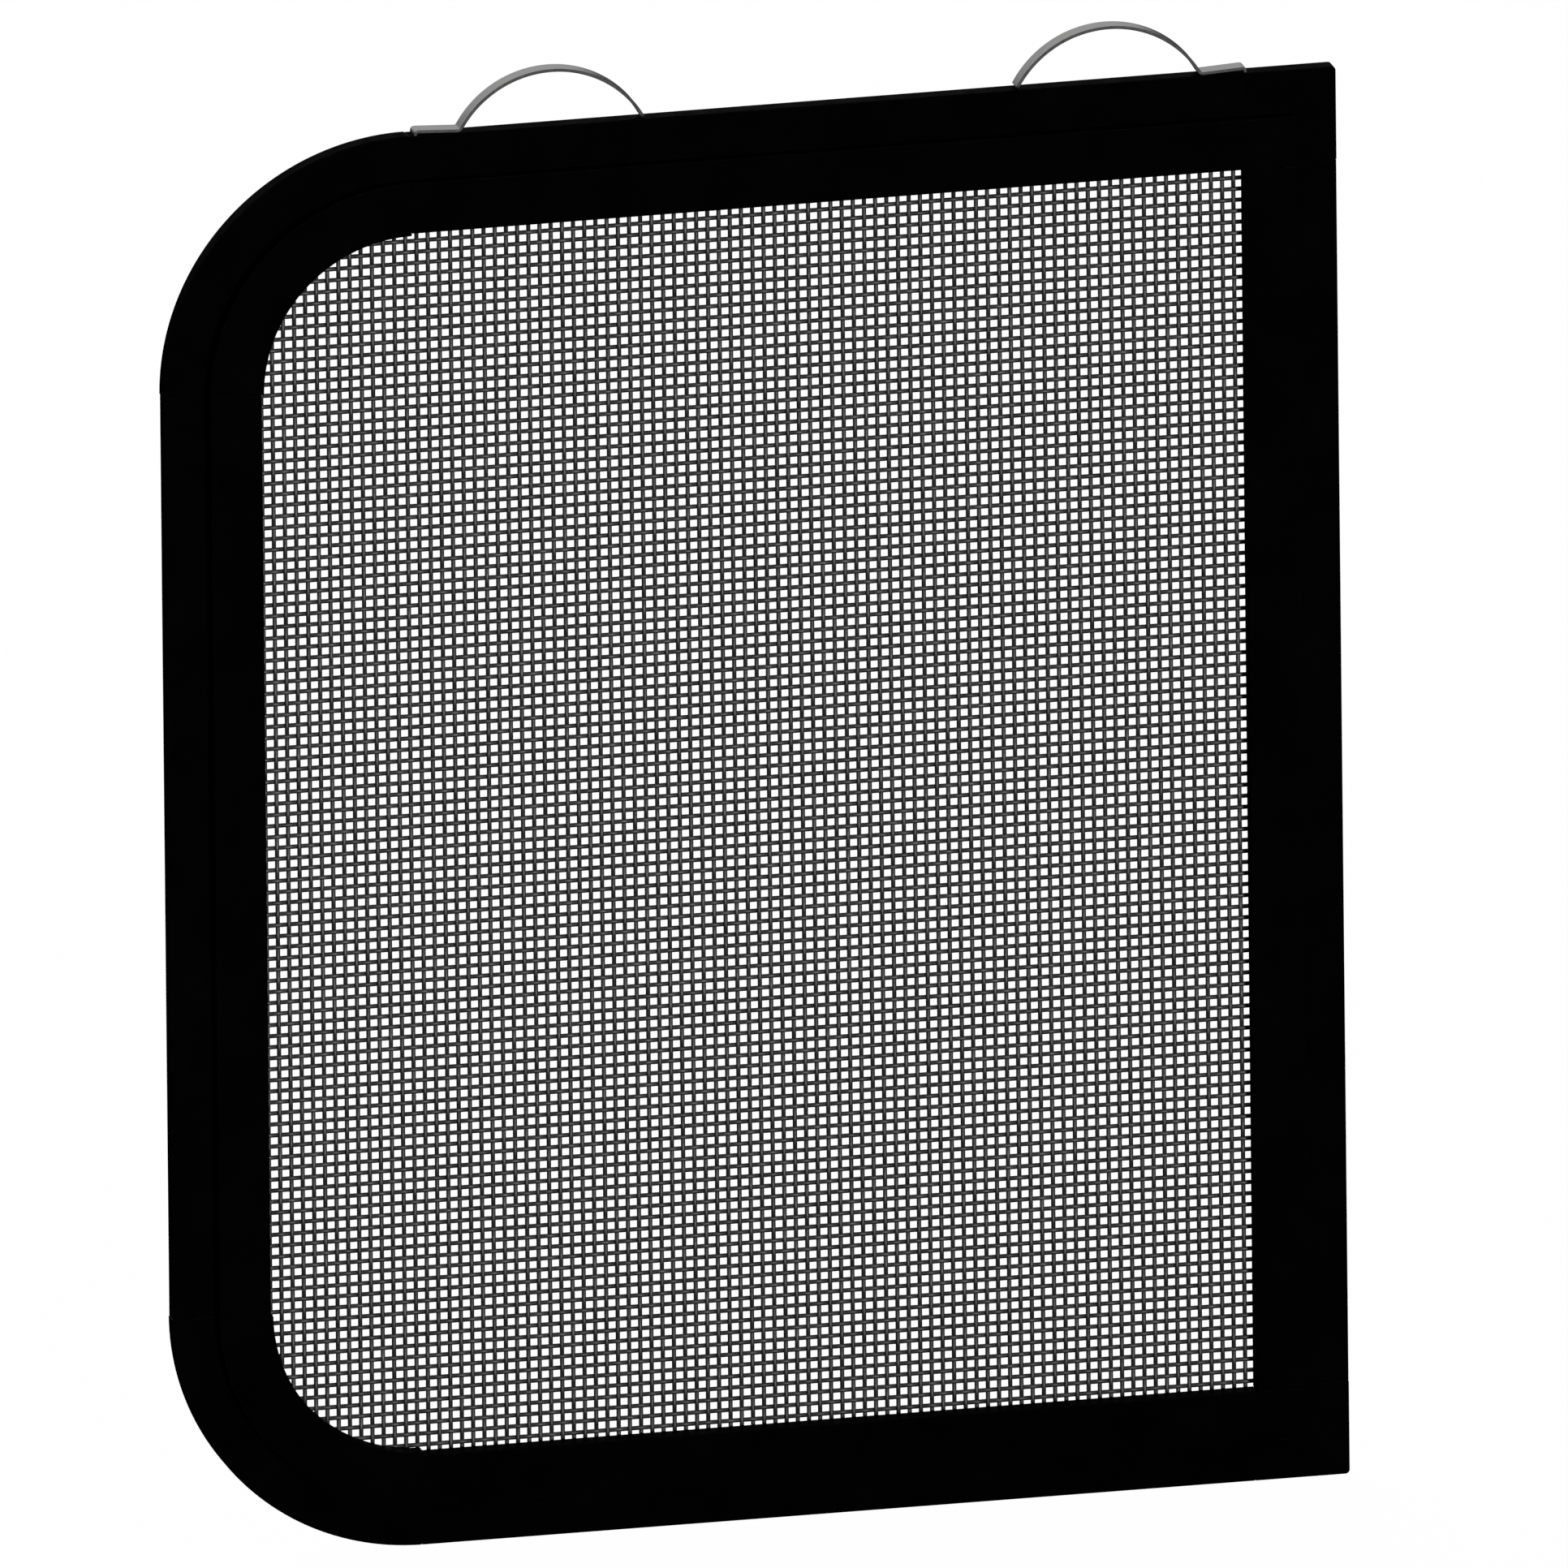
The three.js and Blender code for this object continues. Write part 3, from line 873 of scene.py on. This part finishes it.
def make_cord():
    """Three strands twisted round each other, pressed into the groove."""
    middle, outward, where, length = line_round((CORD_OUTER + CORD_INNER) / 2, CORD_CORNER)
    turns = round(length / CORD_TWIST)
    wide = (CORD_INNER - CORD_OUTER) / 2 - STRAND_RADIUS
    deep = (CORD_FRONT - CORD_BACK) / 2 - STRAND_RADIUS
    y = BACK - (CORD_BACK + CORD_FRONT) / 2
    shells = []
    for strand in range(STRANDS):
        angle = 2 * math.pi * (turns * where / length + strand / STRANDS)
        across = middle + outward * (wide * np.cos(angle))[:, None]
        points = np.stack([across[:, 0], y + deep * np.sin(angle), across[:, 1]], -1)
        side = np.stack([outward[:, 0], np.zeros(len(outward)), outward[:, 1]], -1)
        shells.append(skin(closed_tube(points, side, STRAND_RADIUS, STRAND_SIDES), loop=True))
    piece = link("twisted_cord", mesh_of("cord", shells))
    piece.data.materials.append(fibre_cord())
    piece.data.shade_smooth()
    belong(piece, "retaining_spline")


# ---- leaf springs ----

SPRING_SEAT_GAP = 0.1 * MM
SPRING_SPAN = 59.4 * MM
SPRING_FOOT = 14.5 * MM
SPRING_EDGE = 0.12 * MM
FOOT_SLOPE = math.radians(3.0)
BEND_REACH = 0.8 * MM
HOOK_REACH = 1 * MM
ARCH_STEPS = 72
FOOT_STEPS = 12
BEND_STEPS = 8
TANG_POINTS = 3
SIDEWAYS = 0.5


def spring_places(node, way):
    """Where a spring stands: the bend between its arch and its foot, and the middle of its hook."""
    low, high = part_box(node)
    outer = low.x if way > 0 else high.x
    hook = outer + way * SPRING_THICKNESS / 2
    return {
        "node": node,
        "way": way,
        "hook": hook,
        "bend": hook + way * SPRING_FOOT,
        "top": high.z,
        "y": (low.y + high.y) / 2,
        "width": high.y - low.y,
    }


left_spring = spring_places("left_leaf_spring", 1)
right_spring = spring_places("right_leaf_spring", -1)


def curve_between(start, pull, end, steps):
    """A bend from start to end, pulled towards a point."""
    share = np.linspace(0, 1, steps + 1)[:, None]
    return (1 - share) ** 2 * start + 2 * share * (1 - share) * pull + share**2 * end


def spring_line(rise):
    """The strip's middle line as (x, z), from its free end over the arch and the foot to the tang's tip."""
    seat = SPRING_THICKNESS / 2
    half = SPRING_SPAN / 2
    sagitta = rise - SPRING_THICKNESS
    radius = (half**2 + sagitta**2) / (2 * sagitta)
    reach = math.asin(half / radius)
    angle = np.linspace(math.pi / 2 - reach, math.pi / 2 + reach - BEND_REACH / radius, ARCH_STEPS + 1)
    arch = np.stack([half + radius * np.cos(angle), seat + sagitta - radius + radius * np.sin(angle)], -1)
    slope = np.array([-math.cos(FOOT_SLOPE), math.sin(FOOT_SLOPE)])
    heel = np.array([-SPRING_FOOT, seat + SPRING_FOOT * math.tan(FOOT_SLOPE)])
    foot_start = np.array([0, seat]) + slope * BEND_REACH
    foot_end = heel - slope * HOOK_REACH
    bend = curve_between(arch[-1], np.array([0, seat]), foot_start, BEND_STEPS)
    foot = np.linspace(foot_start, foot_end, FOOT_STEPS + 1)
    drop = heel - np.array([0, HOOK_REACH])
    hook = curve_between(foot_end, heel, drop, BEND_STEPS)
    tang = np.array([[heel[0], height] for height in (0, 0, -TANG_DEPTH)])
    return np.concatenate([arch, bend[1:], foot[1:], hook[1:], tang])


def rounded_section(width, thickness, radius, steps=3):
    """A rectangle with round corners, as (across, along the normal)."""
    points = []
    for quarter, (sign_a, sign_b) in enumerate(((1, 1), (-1, 1), (-1, -1), (1, -1))):
        for step in range(steps + 1):
            angle = math.radians(90 * (quarter + step / steps))
            a = sign_a * (width / 2 - radius) + radius * math.cos(angle)
            b = sign_b * (thickness / 2 - radius) + radius * math.sin(angle)
            points.append((a, b))
    return np.array(points)


def with_ends_twice(values):
    """Values for rings, with one more ring at each end."""
    return np.concatenate([values[:1], values, values[-1:]])


def spring_rings(spring):
    """The strip's section at each point of its line, chamfered at both ends and narrow along the tang."""
    seat_z = RAIL_TOP + SPRING_SEAT_GAP
    line = spring_line(spring["top"] - seat_z)
    ahead = np.gradient(line, axis=0)
    ahead[-TANG_POINTS:] = (0, -1)
    ahead /= np.linalg.norm(ahead, axis=1)[:, None]
    normals = np.stack([-ahead[:, 1], ahead[:, 0]], -1)
    widths = np.full(len(line), spring["width"])
    widths[1 - TANG_POINTS :] = TANG_WIDTH
    insets = np.zeros(len(line) + 2)
    insets[[0, -1]] = SPRING_EDGE
    line = with_ends_twice(line)
    line[1] += ahead[0] * SPRING_EDGE
    line[-2] -= ahead[-1] * SPRING_EDGE
    normals = with_ends_twice(normals)
    widths = with_ends_twice(widths)
    rings = []
    for point, normal, width, inset in zip(line, normals, widths, insets):
        section = rounded_section(width - inset, SPRING_THICKNESS - inset, SPRING_EDGE)
        x, z = point[:, None] + normal[:, None] * section[:, 1]
        y = spring["y"] + section[:, 0]
        rings.append(np.stack([spring["bend"] + spring["way"] * x, y, seat_z + z], -1))
    return np.array(rings)


def make_springs():
    """Two mirrored strips.
    """
    steel, edge = spring_steel(), shaded_sheared_edge()
    for spring, name, joint in (
        (left_spring, "left_spring_strip", "left_spring_press"),
        (right_spring, "right_spring_strip", "right_spring_press"),
    ):
        piece = link(name, mesh_of(name, [skin(spring_rings(spring))]))
        piece.data.materials.append(steel)
        piece.data.materials.append(edge)
        # The side faces take the darker edge material: a sheared finish and painted shade
        repaint(piece, SHADED_SLIT_EDGES, lambda normal: abs(normal.y) > SIDEWAYS)
        shade(piece)
        belong(piece, spring["node"])
        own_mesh(piece)


# ---- studio ----

FLOOR_HALF = 4.0
FLOOR_GLOW = 0.985
FLOOR_TONE = 0.05
SKY_LOW = 0.02
SKY_HIGH = 0.15
SKY_LOW_UNTIL = 0.1
SKY_HIGH_FROM = 0.9
KEY_STRENGTH = 1.0
KEY_AZIMUTH = 12
KEY_ELEVATION = 2
KEY_SOFTNESS = 10
RIM_STRENGTH = 0.6
RIM_AZIMUTH = -178
RIM_ELEVATION = 24
RIM_SOFTNESS = 60


def sun_light(name, strength, azimuth, elevation, softness):
    """A soft distant light from an azimuth, turned as the camera's is, and an elevation."""
    data = bpy.data.lights.new(name, "SUN")
    data.energy = strength
    data.angle = math.radians(softness)
    light = bpy.data.objects.new(name, data)
    turn = Matrix.Rotation(math.radians(azimuth), 4, "Z")
    light.matrix_world = turn @ Matrix.Rotation(math.radians(90 - elevation), 4, "X")
    bpy.context.scene.collection.objects.link(light)


def make_floor():
    """A plain white floor that only the camera sees, so that it doesn't light the black frame from below."""
    corners = [(-FLOOR_HALF, -FLOOR_HALF, 0), (FLOOR_HALF, -FLOOR_HALF, 0)]
    corners += [(FLOOR_HALF, FLOOR_HALF, 0), (-FLOOR_HALF, FLOOR_HALF, 0)]
    mesh = bpy.data.meshes.new("studio_floor")
    mesh.from_pydata(corners, [], [(0, 1, 2, 3)])
    floor = link("studio_floor", mesh)
    floor.visible_diffuse = False
    floor.visible_glossy = False
    made, shader, _ = new_material("studio_floor")
    shader.inputs["Base Color"].default_value = (FLOOR_TONE, FLOOR_TONE, FLOOR_TONE, 1)
    shader.inputs["Roughness"].default_value = 1.0
    shader.inputs["Specular IOR Level"].default_value = 0.0
    shader.inputs["Emission Color"].default_value = (1, 1, 1, 1)
    shader.inputs["Emission Strength"].default_value = FLOOR_GLOW
    mesh.materials.append(made)


def make_world():
    """White where the camera looks past the floor. As light it is dim below and brighter overhead."""
    world = bpy.data.worlds.new("studio")
    world.use_nodes = True
    nodes, links = world.node_tree.nodes, world.node_tree.links
    direction = nodes.new("ShaderNodeTexCoord").outputs["Generated"]
    parts = nodes.new("ShaderNodeSeparateXYZ")
    height = nodes.new("ShaderNodeMapRange")
    height.inputs["From Min"].default_value = SKY_LOW_UNTIL
    height.inputs["From Max"].default_value = SKY_HIGH_FROM
    height.inputs["To Min"].default_value = SKY_LOW
    height.inputs["To Max"].default_value = SKY_HIGH
    seen = nodes.new("ShaderNodeLightPath").outputs["Is Camera Ray"]
    strength = nodes.new("ShaderNodeMath")
    strength.operation = "MAXIMUM"
    links.new(direction, parts.inputs["Vector"])
    links.new(parts.outputs["Z"], height.inputs["Value"])
    links.new(height.outputs["Result"], strength.inputs[0])
    links.new(seen, strength.inputs[1])
    links.new(strength.outputs["Value"], nodes["Background"].inputs["Strength"])
    nodes["Background"].inputs["Color"].default_value = (1, 1, 1, 1)
    bpy.context.scene.world = world


def make_studio():
    """The lights, the floor and the sky, with a view transform that keeps white white."""
    bpy.context.scene.view_settings.view_transform = "Standard"
    make_floor()
    make_world()
    sun_light("key", KEY_STRENGTH, KEY_AZIMUTH, KEY_ELEVATION, KEY_SOFTNESS)
    sun_light("rim", RIM_STRENGTH, RIM_AZIMUTH, RIM_ELEVATION, RIM_SOFTNESS)


# ---- the whole scene ----

make_frame()
make_rivets()
make_cloth("upright_wires", upright_wires(), drawn_wire("upright_wire", (1, 1, 0.03)))
make_cloth("level_wires", level_wires(), drawn_wire("level_wire", (0.03, 1, 1)))
make_cord()
make_springs()
make_studio()
